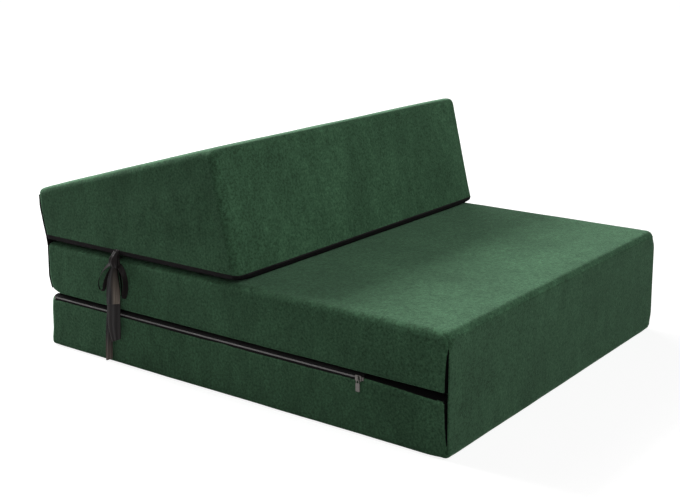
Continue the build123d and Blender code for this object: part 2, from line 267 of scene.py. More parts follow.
def floor_material():
    """A pale floor that the camera sees as white and that still takes the object's shadow.

    It glows a little less near the object, within the metres given by glow_start and glow_end.
    """
    material = bpy.data.materials.new("floor")
    material.use_nodes = True
    tree = material.node_tree
    tree.nodes.clear()
    surface = add_node(tree, "ShaderNodeBsdfDiffuse", Color=(floor_grey, floor_grey, floor_grey, 1))
    away = add_node(tree, "ShaderNodeVectorMath", [(0, object_place(tree))], operation="LENGTH")
    strength = mapped(tree, away.outputs["Value"], glow_start, glow_end, near_glow, 1.0)
    glow = add_node(tree, "ShaderNodeEmission", [("Strength", strength)], Color=white)
    nothing = add_node(tree, "ShaderNodeEmission", Color=black, Strength=0)
    choice = add_node(tree, "ShaderNodeMixShader",
                      [(0, seen_plainly(tree)), (1, nothing.outputs[0]), (2, glow.outputs[0])])
    total = add_node(tree, "ShaderNodeAddShader", [(0, surface.outputs[0]), (1, choice.outputs[0])])
    add_node(tree, "ShaderNodeOutputMaterial", [("Surface", total.outputs[0])]).is_active_output = True
    return material


def studio_world():
    """A world that lights the object faintly and that the camera sees as white."""
    world = bpy.data.worlds.new("studio")
    world.use_nodes = True
    tree = world.node_tree
    tree.nodes.clear()
    studio = add_node(tree, "ShaderNodeBackground", Color=white, Strength=world_strength)
    backdrop = add_node(tree, "ShaderNodeBackground", Color=white, Strength=1.0)
    both = add_node(tree, "ShaderNodeMixShader",
                    [(0, seen_plainly(tree)), (1, studio.outputs[0]), (2, backdrop.outputs[0])])
    add_node(tree, "ShaderNodeOutputWorld", [("Surface", both.outputs[0])])
    return world


def area_light(name, location, size, power):
    """A soft square light turned towards the object, with its place and size in metres."""
    light_data = bpy.data.lights.new(name, "AREA")
    light_data.shape = "SQUARE"
    light_data.size = size
    light_data.energy = power
    light = bpy.data.objects.new(name, light_data)
    light.location = location
    light.rotation_euler = (light_target - Vector(location)).to_track_quat("-Z", "Y").to_euler()
    bpy.context.collection.objects.link(light)


floor = mesh_object(
    "floor",
    [(-floor_reach, -floor_reach, -floor_drop), (floor_reach, -floor_reach, -floor_drop),
     (floor_reach, floor_reach, -floor_drop), (-floor_reach, floor_reach, -floor_drop)],
    [(0, 1, 2, 3)],
)
floor.data.materials.append(floor_material())
bpy.context.scene.world = studio_world()

light_target = Vector((0, 0, 0.15))
area_light("back_light", (0, 2.9, 2.1), size=1.6, power=225)
area_light("back_left_light", (-0.8, 2.6, 2.2), size=1.8, power=12)
area_light("back_right_light", (1.8, 2.0, 2.0), size=1.5, power=30)
area_light("front_light", (0, -2.4, 2.0), size=1.8, power=36)
area_light("side_light", (-2.3, -1.7, 1.5), size=1.8, power=12)


# Materials

def velour(name, colour):
    """Short-napped velour: brushed patches and streaks, a fine grain and a soft sheen at grazing angles."""
    material, tree, shader = node_material(name)
    where = object_place(tree)
    brushed = add_node(tree, "ShaderNodeMapping", [("Vector", where)], Scale=(1, 1, 0.45)).outputs[0]
    patches = noise_at(tree, brushed, 11.0, 5.0, Roughness=0.62, Distortion=0.4)
    streaks = noise_at(tree, brushed, 62.0, 4.0, Roughness=0.65)
    grain = noise_at(tree, where, 250.0, 3.0, Roughness=0.75)
    fibre = noise_at(tree, where, 1500.0, 2.0, Roughness=0.6)
    tone = product(tree, toned(tree, patches, 0.8, 1.2), toned(tree, streaks, 0.85, 1.15),
                   toned(tree, grain, 0.5, 1.5))
    tinted(tree, shader, colour, tone)
    bumped(tree, shader, reckoned(tree, "ADD", grain, fibre), strength=0.4, distance=0.8)
    set_sockets(shader, {"Roughness": 0.95, "Specular IOR Level": 0.08, "Sheen Weight": 0.22,
                         "Sheen Roughness": 0.5, "Sheen Tint": (0.5, 0.88, 0.6, 1)})
    return material


def plain_cloth(name, colour, roughness, weave):
    """A plain woven cloth of crossing threads: weave is the width of about three, in millimetres."""
    material, tree, shader = node_material(name)
    where = object_place(tree)
    threads = [add_node(tree, "ShaderNodeTexWave", [("Vector", where)], Scale=1 / (weave * mm),
                        Distortion=0.6, bands_direction=axis, wave_profile="SIN").outputs["Fac"]
               for axis in "YZ"]
    tinted(tree, shader, colour, toned(tree, noise_at(tree, where, 60.0, 3.0), 0.85, 1.15, spread=0.2))
    bumped(tree, shader, product(tree, *threads), strength=0.3, distance=0.2)
    set_sockets(shader, {"Roughness": roughness, "Specular IOR Level": 0.08})
    return material


def satin(name, dark, light, across=None, down=None):
    """Satin ribbon: fine streaks along its length, and a painted sheen in its base colour that grows across
    or down it.

    across and down give where the painted sheen starts and where it is full, in millimetres from the knot's
    middle along y and from the seam along z.
    """
    material, tree, shader = node_material(name)
    where = object_place(tree)
    parts = add_node(tree, "ShaderNodeSeparateXYZ", [("Vector", where)])
    stretched = add_node(tree, "ShaderNodeMapping", [("Vector", where)], Scale=(400, 400, 12)).outputs[0]
    streaks = noise_at(tree, stretched, 1.0, 3.0)
    shares = [toned(tree, streaks, 0.55, 1.2)]
    for axis, origin, span in (("Y", knot_y, across), ("Z", seam_z, down)):
        if span:
            start, end = [(origin + offset) * mm for offset in span]
            shares.append(mapped(tree, parts.outputs[axis], start, end, interpolation_type="SMOOTHSTEP"))
    # Painted sheen: the base colour turns pale where the satin would catch the light
    painted_sheen = add_node(tree, "ShaderNodeMix", [("Factor", product(tree, *shares))], data_type="RGBA")
    painted_sheen.inputs[6].default_value = (*dark, 1)
    painted_sheen.inputs[7].default_value = (*light, 1)
    tree.links.new(painted_sheen.outputs[2], shader.inputs["Base Color"])
    tree.links.new(toned(tree, streaks, 0.34, 0.5), shader.inputs["Roughness"])
    bumped(tree, shader, streaks, strength=0.15, distance=0.3)
    set_sockets(shader, {"Specular IOR Level": 0.07})
    return material


def drawn_nylon(name, colour, roughness):
    """The nylon of the zip's teeth, a little uneven in tone and gloss."""
    material, tree, shader = node_material(name)
    marks = noise_at(tree, object_place(tree), 700.0, 3.0)
    tinted(tree, shader, colour, toned(tree, marks, 0.8, 1.2))
    tree.links.new(toned(tree, marks, roughness - 0.08, roughness + 0.08), shader.inputs["Roughness"])
    return material


def dark_metal(name, colour, roughness):
    """Lacquered zinc with faint casting marks and an uneven gloss."""
    material, tree, shader = node_material(name)
    marks = noise_at(tree, object_place(tree), 900.0, 4.0)
    tinted(tree, shader, colour, toned(tree, marks, 0.8, 1.2, spread=0.2))
    gloss = toned(tree, marks, roughness - 0.08, roughness + 0.1, spread=0.2)
    tree.links.new(gloss, shader.inputs["Roughness"])
    set_sockets(shader, {"Metallic": 0.85})
    return material


green_velour = velour("green_velour", (0.046, 0.108, 0.057))
# A darker copy of the green velour for the front panel: painted shade for a front that lies in less light
# than the other faces
panel_velour_painted_shade = velour("green_velour_front_painted_shade", (0.034, 0.079, 0.0415))
lining_cloth = plain_cloth("dark_lining", (0.018, 0.0165, 0.0172), roughness=0.9, weave=1.2)
tape_cloth = plain_cloth("zip_tape", (0.018, 0.017, 0.0175), roughness=0.95, weave=0.8)
# Near-black cloth painted on faces in the gaps between the slabs, in the recess ahead of the zip and at the
# foot of the wedge's lining: painted shade and painted contact shadow
painted_shade_cloth = plain_cloth("painted_gap_shade", (0.004, 0.004, 0.004), roughness=0.95, weave=1.0)
coil_nylon = drawn_nylon("zip_coil", (0.2, 0.19, 0.19), roughness=0.45)
zip_metal = dark_metal("zip_metal", (0.13, 0.122, 0.115), roughness=0.42)
# The ribbons' near-black colour, and a pale colour for the painted sheen on the short and long tails
ribbon_dark, ribbon_painted_sheen = (0.006, 0.005, 0.0055), (0.2, 0.165, 0.135)
ribbon_satin = satin("satin_ribbon", ribbon_dark, (0.016, 0.013, 0.013))
short_tail_satin = satin("satin_ribbon_short", ribbon_dark, ribbon_painted_sheen, across=(6.5, -7), down=(-3, -73))
long_tail_satin = satin("satin_ribbon_long", ribbon_dark, ribbon_painted_sheen, down=(-119, -211))


def finished(piece, body, material, replaced):
    """Gives a piece its material, its body and the CAD nodes it stands for."""
    piece.data.materials.clear()
    piece.data.materials.append(material)
    if body:
        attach(piece, body)
    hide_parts(*replaced)


# Soft blocks: foam in a sewn cover

# The grid's step, its finer step near the edges, and how wide those edges are
cell = 9.5
edge_cell = 2.8
edge_margin = 17
# How far a corner's radius reaches along an edge, and how square the bow of a side is
corner_zone = 14
bow_power = 2.6


def spaced(length):
    """Places along a length: fine steps near both ends, coarser ones between them."""
    edge = np.arange(0, edge_margin, edge_cell)
    count = max(2, round((length - 2 * edge_margin) / cell))
    middle = np.linspace(edge_margin, length - edge_margin, count + 1)
    return np.concatenate([edge, middle, length - edge[::-1]])


def rows_of(height, places):
    """Shares of the height for places measured up from the foot and, if negative, down from the head."""
    return np.array([p if p >= 0 else height + p for p in places]) / height


def box_grid(nx, ny, nz):
    """The grid on the surface of a box: the three indices of each point, and the faces."""
    i, j, k = np.meshgrid(np.arange(nx), np.arange(ny), np.arange(nz), indexing="ij")
    outside = (i % (nx - 1) == 0) | (j % (ny - 1) == 0) | (k % (nz - 1) == 0)
    number = np.full((nx, ny, nz), -1)
    number[outside] = np.arange(outside.sum())
    faces = []
    for grid, turned in (
        (number[:, :, -1], False), (number[:, :, 0], True), (number[:, 0, :], False),
        (number[:, -1, :], True), (number[-1, :, :], False), (number[0, :, :], True),
    ):
        a, b, c, d = grid[:-1, :-1], grid[1:, :-1], grid[1:, 1:], grid[:-1, 1:]
        order = (a, d, c, b) if turned else (a, b, c, d)
        faces.extend(np.stack(order, axis=-1).reshape(-1, 4))
    return np.stack([i[outside], j[outside], k[outside]], axis=-1), faces


def softened(reach, size, radius):
    """Rounds the edges of a block: reach is each point's distance from the low faces of its box."""
    near = np.minimum(reach, size - reach)
    excess = np.clip(radius[:, None] - near, 0, None)
    length = np.maximum(np.linalg.norm(excess, axis=1)[:, None], 1e-9)
    moved = np.where(excess > 0, radius[:, None] * (1 - excess / length), near)
    return np.where(reach < size / 2, moved, size - moved)


def ends(reach, size):
    """Three shares that add up to one: near the low end, between the ends, near the high end."""
    low = np.clip(2 - reach / corner_zone, 0, 1)
    high = np.clip(2 - (size - reach) / corner_zone, 0, 1)
    return np.stack([low, 1 - low - high, high], axis=-1)


def bell(share):
    """Zero at both ends of a side and one over its middle, as tight cloth bows."""
    return 1 - np.abs(2 * np.clip(share, 0, 1) - 1) ** bow_power


def step_up(value, start, end):
    """Goes smoothly from zero at start to one at end."""
    share = np.clip((value - start) / (end - start), 0, 1)
    return share * share * (3 - 2 * share)


class Block:
    """A crowned block of foam in its cover, on a grid that is finer near its edges.

    profile gives the y and z of its front foot, back foot, back head and front head. rows are the
    shares of its height where the grid has points. long_edges and side_edges are tables of edge
    radii, for the edges along x and for both sides: front, middle and back, each at the foot, half
    way up and at the head. pull is how far its sides draw in towards their middles, shrink is how
    far all its faces draw in, and foot_tuck and head_tuck give how far the sides step in at the foot
    and the head, and over what height.
    """

    def __init__(self, profile, rows, long_edges, side_edges, crown=0, pull=0, shrink=0,
                 foot_tuck=(0, 1), head_tuck=(0, 1)):
        self.profile = [np.array(p, float) for p in profile]
        front_foot, back_foot, back_head, front_head = self.profile
        foot_run, head_run = back_foot - front_foot, back_head - front_head
        self.depth = (np.linalg.norm(foot_run) + np.linalg.norm(head_run)) / 2
        self.width = 2 * half_width
        self.rows = rows
        self.long_edges, self.side_edges = np.array(long_edges, float), np.array(side_edges, float)
        self.crown, self.pull, self.shrink = crown, pull, shrink
        self.foot_tuck, self.head_tuck = foot_tuck, head_tuck
        self.x_places, self.y_places = spaced(self.width), spaced(self.depth)

    def points(self, index):
        """The places of grid points, given their three indices each."""
        front_foot, back_foot, back_head, front_head = self.profile
        x_reach, y_reach = self.x_places[index[:, 0]], self.y_places[index[:, 1]]
        share = y_reach / self.depth
        tall = (front_head[1] - front_foot[1]) * (1 - share) + (back_head[1] - back_foot[1]) * share
        z_reach = self.rows[index[:, 2]] * tall
        by_y, by_z = ends(y_reach, self.depth), ends(z_reach, tall)
        long_radius = np.einsum("ni,nj,ij->n", by_y, by_z, self.long_edges)
        side_radius = np.einsum("ni,nj,ij->n", by_y, by_z, self.side_edges)
        at_side = 1 - ends(x_reach, self.width)[:, 1]
        radius = long_radius + (side_radius - long_radius) * at_side
        reach = np.stack([x_reach, y_reach, z_reach], axis=-1)
        size = np.stack([np.full_like(tall, self.width), np.full_like(tall, self.depth), tall], axis=-1)
        u, v, w = (softened(reach, size, radius) / size).T
        foot = front_foot + (back_foot - front_foot) * v[:, None]
        head = front_head + (back_head - front_head) * v[:, None]
        y, z = (foot + (head - foot) * w[:, None]).T
        tuck = (self.foot_tuck[0] * (1 - step_up(w * tall, 0, self.foot_tuck[1]))
                + self.head_tuck[0] * (1 - step_up((1 - w) * tall, 0, self.head_tuck[1])))
        x = (u - 0.5) * (self.width - 2 * self.pull * bell(v) * bell(w) - 2 * self.shrink - 2 * tuck)
        y = y - (2 * v - 1) * (self.pull * bell(u) * bell(w) + self.shrink)
        z = z + self.crown * bell(u) * bell(v) * np.clip(2 * w - 1, 0, 1) - (2 * w - 1) * self.shrink
        return np.stack([x, y, z], axis=-1)

    def piece(self, name):
        """The whole block as a mesh object."""
        index, faces = box_grid(len(self.x_places), len(self.y_places), len(self.rows))
        return mesh_object(name, self.points(index), faces)

    def face(self, low, high, back=False):
        """Its front or back face as a grid of points, for the rows between two heights above its foot."""
        front_foot, back_foot, back_head, front_head = self.profile
        tall = back_head[1] - back_foot[1] if back else front_head[1] - front_foot[1]
        rows = [k for k, share in enumerate(self.rows) if low <= share * tall <= high]
        depth_index = len(self.y_places) - 1 if back else 0
        index = np.array([(i, depth_index, k) for k in rows for i in range(len(self.x_places))])
        return self.points(index).reshape(len(rows), len(self.x_places), 3)


blow_frames = 20
blow_cap = 2.0
wide_lump, wide_lump_size = 0.45, 110
fine_lump, fine_lump_size = 0.2, 32
seed_steps = (3.7, 1.3, 2.1)


def inflated(piece):
    """The foam inside keeps it from drawing in, and how far each point moves out stays within a cap.
    """
    start = coordinates(piece.data)
    outward = vertex_normals(piece.data)
    modifier = piece.modifiers.new("cloth", "CLOTH")
    settings = modifier.settings
    settings.quality = 4
    settings.mass = 0.4
    settings.tension_stiffness = settings.compression_stiffness = 22
    settings.shear_stiffness = 12
    settings.bending_stiffness = 1.6
    settings.use_pressure = True
    settings.uniform_pressure_force = 4
    settings.effector_weights.gravity = 0
    modifier.collision_settings.use_collision = False
    modifier.collision_settings.use_self_collision = False
    modifier.point_cache.frame_start, modifier.point_cache.frame_end = 1, blow_frames
    for step in range(1, blow_frames + 1):
        bpy.context.scene.frame_set(step)
    blown = piece.evaluated_get(bpy.context.evaluated_depsgraph_get())
    moved = coordinates(blown.data) - start
    piece.modifiers.remove(modifier)
    bpy.context.scene.frame_set(1)
    inward = np.minimum(np.sum(moved * outward, axis=1), 0)[:, None]
    moved -= inward * outward
    length = np.maximum(np.linalg.norm(moved, axis=1)[:, None], 1e-9)
    place(piece.data, start + moved * np.tanh(length / blow_cap) * blow_cap / length)


def lumps(points, size, seed):
    """Smooth unevenness of foam and cloth, between about minus one and one at each point."""
    shift = Vector([seed * step for step in seed_steps])
    return np.array([noise.noise(Vector(p) / size + shift) for p in points.tolist()])


def ripple(grid, size, seed):
    """The same unevenness over a grid of points."""
    return lumps(grid.reshape(-1, 3), size, seed).reshape(grid.shape[:2])


def uneven(piece, seed):
    """Moves the surface in and out a little, in wide soft lumps and finer ones."""
    points = coordinates(piece.data)
    push = (wide_lump * lumps(points, wide_lump_size, seed)
            + fine_lump * lumps(points, fine_lump_size, seed + 5))
    place(piece.data, points + vertex_normals(piece.data) * push[:, None])


def cushion(block, name, seed, shape):
    """A block's piece, blown up, smoothed and made uneven, whose points shape(x, y, z) then changes."""
    piece = block.piece(name)
    inflated(piece)
    subdivided(piece)
    uneven(piece, seed)
    points = coordinates(piece.data)
    shape(*points.T)
    place(piece.data, points)
    return piece


def paint_shade(piece, chosen):
    """Gives the faces whose middles are chosen a near-black painted shade instead of the piece's own
    material.
    """
    middles = np.empty(len(piece.data.polygons) * 3)
    piece.data.polygons.foreach_get("center", middles)
    dark = chosen(*(middles.reshape(-1, 3) / mm).T)
    piece.data.materials.append(painted_shade_cloth)
    piece.data.polygons.foreach_set("material_index", dark.astype(np.int32))
    piece.data.update()


# What the covers share

# How far they draw in, how far they may stand past the frame, and how far a slab's sides bow in
shrink = 0.5
slack = 0.3
slab_pull = 0.6
# The front panel's thickness, its gap to the covers, and the heights of its edges and of their fades
panel_thickness = 2
panel_gap = 0.1
panel_low, panel_high = 7, 172
low_fade_start, low_fade_end = panel_low - 4, panel_low + 5
high_fade_start, high_fade_end = panel_high - 7, panel_high + 1
# The open slots behind both ends of the panel
slot_width, slot_depth = 5.5, 26
slot_foot, slot_height = 14, 150
# The painted shade's width from the sides in, its depth from the front back, and what stays unshaded at a
# side
shade_width = 18
front_shade_depth = 10
unshaded_side = 1


def behind_panel(x, z):
    """How far the cushions' fronts lie behind the panel, with the open slots near both its ends."""
    covered = step_up(z, low_fade_start, low_fade_end) * (1 - step_up(z, high_fade_start, high_fade_end))
    near_end = step_up(np.abs(x), half_width - slot_depth, half_width - slot_depth / 2)
    open_slot = slot_width * near_end * bell((z - slot_foot) / slot_height)
    return covered * (panel_thickness + panel_gap + open_slot)


def shaded_front(x, y):
    """Where a slab's front gets the painted shade behind the panel, short of its unshaded sides."""
    return (y < front_y + front_shade_depth) & (np.abs(x) < half_width - unshaded_side)


# The lower slab, with a ledge for its zip and an open recess ahead of the zip

# Where the ledge starts and ends, its height, its depth and how softly it starts
zip_front, zip_back = -257, 384
zip_ledge = 80.8
ledge_depth = 3.2
ledge_softness = 0.6
ledge_front_start, ledge_front_end = zip_front - 3, zip_front + 1
ledge_back_start, ledge_back_end = zip_back - 1, zip_back + 4
# The recess, with how far its edge lies below the slab's top and falls more towards the front
recess_depth = 12
recess_rim = 4.5
recess_fall = 4.5
recess_start, recess_full = 0.3, 1.6
# Where the rows bend with the recess: from this height up, and over these distances from the side
bend_foot = 65
bend_start, bend_full = 60, 25
# The painted shade's reach below the top, its lowest height at the front, and its reach below the recess
base_shade_height = 5
base_front_shade_foot = 22
shade_overlap = 0.1


def recess_foot(y):
    """The height of the lower edge of the open recess ahead of the zip, lower towards the front."""
    return base_top - recess_rim - recess_fall * step_up(-y, -zip_front, -front_y)


def base_shape(x, y, z):
    """Bends the rows to the recess, steps back behind the panel, and cuts the ledge and the recess."""
    beside = step_up(-x, half_width - bend_start, half_width - bend_full) * (y < zip_front)
    bent = np.interp(z, [bend_foot, base_top - recess_rim, base_top], [0, 1, 0])
    z += beside * bent * (recess_foot(y) - base_top + recess_rim)
    y[:] = np.maximum(y, front_y + behind_panel(x, z))
    along_zip = (step_up(y, ledge_front_start, ledge_front_end)
                 * (1 - step_up(y, ledge_back_start, ledge_back_end)))
    ledge = along_zip * step_up(z, zip_ledge - ledge_softness, zip_ledge + ledge_softness)
    recess = (y < zip_front) * step_up(z, recess_foot(y) - recess_start, recess_foot(y) + recess_full)
    near_side = -half_width - slack + (ledge_depth + slack) * ledge + recess_depth * recess
    x[:] = np.clip(x, near_side, half_width + slack)
    y[:] = np.minimum(y, back_y + slack)
    z[:] = np.clip(z, 0, base_top)


def base_painted_shade(x, y, z):
    """Painted shade in the gap between the slabs: the slab's top edges, its front behind the panel's ends,
    and the recess ahead of the zip.
    """
    top = z > base_top - base_shade_height
    front = shaded_front(x, y) & (z > base_front_shade_foot)
    in_recess = (x < 0) & (y < zip_front) & (z > recess_foot(y) - shade_overlap)
    return (np.abs(x) > half_width - shade_width) & (top | front | in_recess)


base_cushion = cushion(Block(
    [(front_y, 0), (back_y, 0), (back_y, base_top), (front_y, base_top)],
    rows_of(base_top, [0, 2.5, 5, 8, 12, 18, 26, 36, 46, 56, 65,
                       -19, -14, -11, -8.5, -6.5, -4.5, -3, -1.5, base_top]),
    long_edges=[(8, 8, 5), (8, 8, 5), (8, 8, 13)],
    side_edges=[(9, 4, 6), (6, 8, 4), (7, 12, 14)],
    pull=slab_pull, shrink=shrink, head_tuck=(18, 5.5),
), "base_cushion", 1, base_shape)
finished(base_cushion, "base", green_velour, ["base_cover", "base_foam"])
paint_shade(base_cushion, base_painted_shade)


# The seat slab

seat_crown = 1.8
seat_edge_top = seat_top - seat_crown
seat_height = seat_edge_top - seat_foot
seat_back_slack = 0.1
# How far the painted shade reaches up from the seat's foot, and how high it reaches on the seat's front
# behind the panel
seat_shade_height = 2.4
seat_front_shade_head = panel_high - 16


def seat_shape(x, y, z):
    """Steps back behind the panel and keeps within the frame."""
    y[:] = np.maximum(y, front_y + behind_panel(x, z))
    x[:] = np.clip(x, -half_width - slack, half_width + slack)
    y[:] = np.minimum(y, back_y + seat_back_slack)
    z[:] = np.clip(z, seat_foot - slack, seat_top)


def seat_painted_shade(x, y, z):
    """Painted shade in the gap between the slabs: the slab's bottom edges and its front behind the panel's
    ends.
    """
    bottom = z < seat_foot + seat_shade_height
    front = shaded_front(x, y) & (z < seat_front_shade_head)
    return (np.abs(x) > half_width - shade_width) & (bottom | front)


seat_block = Block(
    [(front_y, seat_foot), (back_y, seat_foot), (back_y, seat_edge_top), (front_y, seat_edge_top)],
    rows_of(seat_height, [0, 1.2, 2.4, 4, 6.5, 10, 15, 21, 30, 40, 50, 60,
                          -21, -15, -11, -8, -5.5, -2.7, seat_height]),
    long_edges=[(5, 8, 11), (5, 8, 11), (15, 8, 8)],
    side_edges=[(6, 4, 12), (3, 8, 11), (15, 8, 8)],
    crown=seat_crown, pull=slab_pull, shrink=shrink, foot_tuck=(18, 3),
)
seat_cushion = cushion(seat_block, "seat_cushion", 2, seat_shape)
finished(seat_cushion, "seat", green_velour, ["seat_cover", "seat_foam"])
paint_shade(seat_cushion, seat_painted_shade)


# The wedge, from its corners before they are rounded: front foot, back foot, back head, front head

wedge_front_foot = (-32.5, wedge_foot)
wedge_back_foot = (399.0, wedge_foot)
wedge_back_head = (419.8, 269.5)
wedge_front_head = (15.7, 383.5)
wedge_row_shares = np.array([
    0, 0.01, 0.02, 0.032, 0.045, 0.06, 0.08, 0.12, 0.17, 0.23, 0.3, 0.37, 0.44, 0.51, 0.58, 0.65, 0.72,
    0.79, 0.85, 0.89, 0.92, 0.945, 0.965, 0.983, 1])
lining_thickness = 0.6


def wedge_shape(x, y, z):
    """Leaves room for the lining below and keeps the back flat."""
    x[:] = np.clip(x, -half_width, half_width)
    z[:] = np.maximum(z, wedge_foot + lining_thickness)
    (foot_y, foot_z), (head_y, head_z) = wedge_back_foot, wedge_back_head
    y[:] = np.minimum(y, np.interp(z, [foot_z, head_z], [foot_y, head_y]))


wedge_block = Block(
    [wedge_front_foot, wedge_back_foot, wedge_back_head, wedge_front_head], wedge_row_shares,
    long_edges=[(9, 8, 11), (8, 8, 11), (6, 8, 11)],
    side_edges=[(13, 14, 13), (7, 8, 8), (6, 5, 10)],
    crown=0.8, pull=1.0, shrink=shrink, foot_tuck=(10, 4.5),
)
wedge_cushion = cushion(wedge_block, "wedge_cushion", 3, wedge_shape)


# The dark lining under the wedge, turned up around its lower edge

# The painted contact shadow on the lining: its height above the wedge's foot, its depth from the wedge's
# front, and what it leaves unshaded below the lining's top
lining_shade_height = 4.2
lining_front_shade = 12
lining_unshaded_top = 1.5


def cut_away(piece, height):
    """Removes everything of a piece above a height."""
    work = bmesh.new()
    work.from_mesh(piece.data)
    bmesh.ops.bisect_plane(work, geom=work.verts[:] + work.edges[:] + work.faces[:],
                           plane_co=(0, 0, height * mm), plane_no=(0, 0, 1), clear_outer=True)
    work.to_mesh(piece.data)
    work.free()


def lining_painted_shade(x, y, z):
    """Painted contact shadow where the wedge sits on the seat: the lining's lower edge and, at the front,
    most of its height.
    """
    lower_edge = z < wedge_foot + lining_shade_height
    front = (y < wedge_front + lining_front_shade) & (z < lining_top - lining_unshaded_top)
    return lower_edge | front


wedge_lining = duplicate(wedge_cushion, "lining_under_wedge")
cut_away(wedge_lining, lining_top)
skin = wedge_lining.modifiers.new("skin", "SOLIDIFY")
skin.thickness = lining_thickness * mm
skin.offset = 1
applied(wedge_lining)
lining_points = coordinates(wedge_lining.data)
lining_points[:, 2] = np.maximum(lining_points[:, 2], wedge_foot)
place(wedge_lining.data, lining_points)
finished(wedge_lining, "wedge", lining_cloth, ["wedge_lining"])
paint_shade(wedge_lining, lining_painted_shade)

finished(wedge_cushion, "wedge", green_velour, ["wedge_cover", "wedge_foam"])


# Sheets of cloth

curve_steps = 24


def smooth_path(points, count):
    """Even points along a smooth curve through the given ones, by the length of their first three columns."""
    points = np.array(points, float)
    ends_out = np.vstack([2 * points[0] - points[1], points, 2 * points[-1] - points[-2]])
    found = []
    for p0, p1, p2, p3 in zip(ends_out, ends_out[1:], ends_out[2:], ends_out[3:]):
        t = np.linspace(0, 1, curve_steps, endpoint=False)[:, None]
        found.append(0.5 * (2 * p1 + (p2 - p0) * t + (2 * p0 - 5 * p1 + 4 * p2 - p3) * t ** 2
                            + (3 * p1 - p0 - 3 * p2 + p3) * t ** 3))
    line = np.vstack(found + [points[-1:]])
    run = np.concatenate([[0], np.cumsum(np.linalg.norm(np.diff(line[:, :3], axis=0), axis=1))])
    even = np.linspace(0, run[-1], count)
    return np.stack([np.interp(even, run, column) for column in line.T], axis=-1)


def cloth(name, surface, thickness):
    """A sheet of cloth with a real thickness, half of it on each side of a grid of points."""
    rows, columns = surface.shape[:2]
    normal = np.cross(np.gradient(surface, axis=1), np.gradient(surface, axis=0))
    normal /= np.maximum(np.linalg.norm(normal, axis=-1, keepdims=True), 1e-9)
    layer = rows * columns
    number = np.arange(layer).reshape(rows, columns)
    a, b, c, d = number[:-1, :-1], number[1:, :-1], number[1:, 1:], number[:-1, 1:]
    faces = list(np.stack([a, b, c, d], axis=-1).reshape(-1, 4))
    faces += list(np.stack([a, d, c, b], axis=-1).reshape(-1, 4) + layer)
    rim = np.concatenate([number[0, :-1], number[:-1, -1], number[-1, :0:-1], number[:0:-1, 0]])
    after = np.roll(rim, -1)
    faces += list(np.stack([rim, after, after + layer, rim + layer], axis=-1))
    points = np.concatenate([(surface + normal * thickness / 2).reshape(-1, 3),
                             (surface - normal * thickness / 2).reshape(-1, 3)])
    return mesh_object(name, points, faces)


# The front panel, over the fronts of both slabs

# How far its middle lies in from the front, and how uneven it is
panel_inset = 0.9
panel_ripple, panel_ripple_size = 0.3, 90
stack_rows = rows_of(seat_edge_top, [
    0, 2.5, 5, 7.5, 10, 13, 17, 22, 30, 38, 46, 54, 62, 70, 77, 82, 85, 87.5, 89.5, 91.4, 93.3, 95.3, 98, 101,
    106, 113, 121, 129, 137, 145, 151, 156, 160, 164, 167, 169.5, 172, 174.5, 177, 179, seat_edge_top])
front_grid = Block(
    [(front_y, 0), (back_y, 0), (back_y, seat_edge_top), (front_y, seat_edge_top)], stack_rows,
    long_edges=[(8, 2, 11), (8, 8, 11), (8, 8, 8)],
    side_edges=[(9, 1.2, 12), (6, 8, 11), (7, 12, 8)],
).face(panel_low, panel_high)
front_grid[..., 1] += panel_inset + panel_ripple * ripple(front_grid, panel_ripple_size, 7)
front_panel = subdivided(cloth("front_panel", front_grid, panel_thickness))
finished(front_panel, None, panel_velour_painted_shade, ["front_panel_lower", "front_panel_upper"])
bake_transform(front_panel)


# The back panel, over the backs of the seat and the wedge

# Its thickness, and how far it stands out
back_thickness = 1.2
back_lift = 1.0
# Which heights above the seat's foot and above the wedge's foot it covers
seat_back_low, seat_back_high = 3.5, 84
wedge_back_low, wedge_back_high = 6, 79
back_grid = np.concatenate([seat_block.face(seat_back_low, seat_back_high, back=True),
                            wedge_block.face(wedge_back_low, wedge_back_high, back=True)])
back_grid[..., 1] += back_lift
back_grid[..., 0] *= 1 + back_thickness / half_width
back_panel = cloth("back_panel", back_grid[:, ::-1], back_thickness)
finished(back_panel, None, lining_cloth, ["seat_back_panel", "wedge_back_panel"])
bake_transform(back_panel)


# The zip: two tapes, and two rows of teeth that mesh

# The tapes: where they lie, how far they run past the zip's ends, their grid and their unevenness
tape_thickness = 0.5
tape_face = -half_width + 2.4
tape_low = zip_ledge - 6
tape_end = 2.5
tape_rows, tape_columns = 9, 130
tape_ripple, tape_ripple_size = 0.25, 24
# The chain's middle height, and half the gap between the tapes there
chain_middle = teeth_middle + 0.8
chain_gap = 0.7
# The teeth, with how far they stand out from the tape and how far the rows stay from the zip's ends
tooth_pitch = 2.0
tooth_reach = 1.9
tooth_length, tooth_thickness = 0.85, 0.8
tooth_stand = 0.9
first_tooth, last_tooth = 1, 0.5
# The share of its reach that a tooth has before the chain's middle
meshed_share = 0.62
# A tooth's outline as shares of its length and thickness, and its scale at shares of its reach
tooth_outline_shares = np.array([(-0.5, -0.55), (0.5, -0.55), (0.72, 0),
                                 (0.5, 0.55), (-0.5, 0.55), (-0.72, 0)])
tooth_scale_shares = [(0, 0.75), (0.25, 1), (0.7, 1), (0.85, 1.25), (1, 0.9)]


def tape(name, profile, node):
    """A strip of tape along the zip, from a profile of (x, z) points."""
    path = smooth_path(profile, tape_rows)
    places = np.linspace(zip_start - tape_end, zip_end + tape_end, tape_columns)
    grid = np.empty((len(path), len(places), 3))
    grid[..., 0] = path[:, :1]
    grid[..., 1] = places[None, :]
    grid[..., 2] = path[:, 1:]
    grid[..., 0] += tape_ripple * ripple(grid, tape_ripple_size, 9)
    piece = cloth(name, grid[:, ::-1], tape_thickness)
    finished(piece, "base", tape_cloth, [node])


